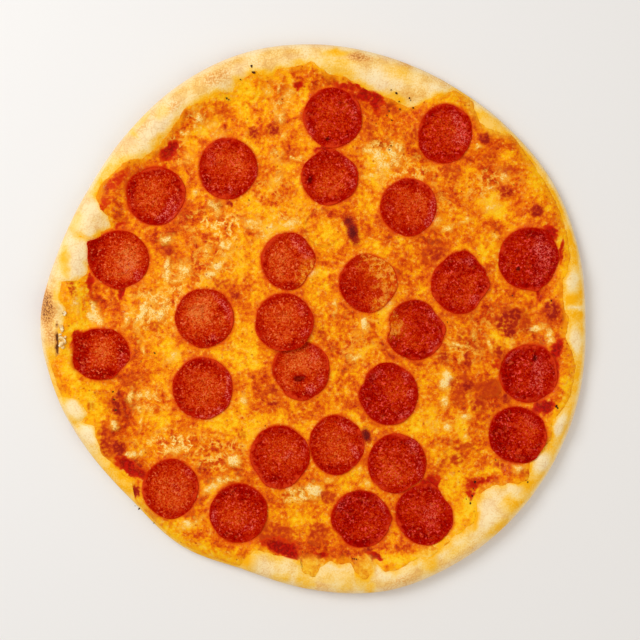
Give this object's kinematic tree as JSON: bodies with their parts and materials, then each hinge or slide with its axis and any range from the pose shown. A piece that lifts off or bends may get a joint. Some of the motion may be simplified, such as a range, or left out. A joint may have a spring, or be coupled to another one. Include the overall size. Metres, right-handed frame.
{
  "type": "whole pepperoni pizza",
  "caption": "Round uncut pizza with a puffed bare rim, melted cheese running to its edge in places, and pepperoni slices set into the cheese.",
  "frame": {"origin": "middle of the flat underside, under the centre of the pizza's bounding box", "axes": "+Z up out of the toppings, +X to the right and +Y up as the picture shows it from above"},
  "size_m": [0.3601, 0.3629, 0.0168],
  "materials": {
    "baked_crust": "matte baked dough, cream with tan browning",
    "melted_cheese": "satin melted cheese stained orange by oil and sauce",
    "pepperoni": "oily cured meat with fine fat specks"
  },
  "bodies": {
    "root": {"crust": "baked_crust", "cheese": "melted_cheese", "pepperoni_01": "pepperoni", "pepperoni_02": "pepperoni", "pepperoni_03": "pepperoni", "pepperoni_04": "pepperoni", "pepperoni_05": "pepperoni", "pepperoni_06": "pepperoni", "pepperoni_07": "pepperoni", "pepperoni_08": "pepperoni", "pepperoni_09": "pepperoni", "pepperoni_10": "pepperoni", "pepperoni_11": "pepperoni", "pepperoni_12": "pepperoni", "pepperoni_13": "pepperoni", "pepperoni_14": "pepperoni", "pepperoni_15": "pepperoni", "pepperoni_16": "pepperoni", "pepperoni_17": "pepperoni", "pepperoni_18": "pepperoni", "pepperoni_19": "pepperoni", "pepperoni_20": "pepperoni", "pepperoni_21": "pepperoni", "pepperoni_22": "pepperoni", "pepperoni_23": "pepperoni", "pepperoni_24": "pepperoni", "pepperoni_25": "pepperoni", "pepperoni_26": "pepperoni", "pepperoni_27": "pepperoni"}
  },
  "joints": []
}
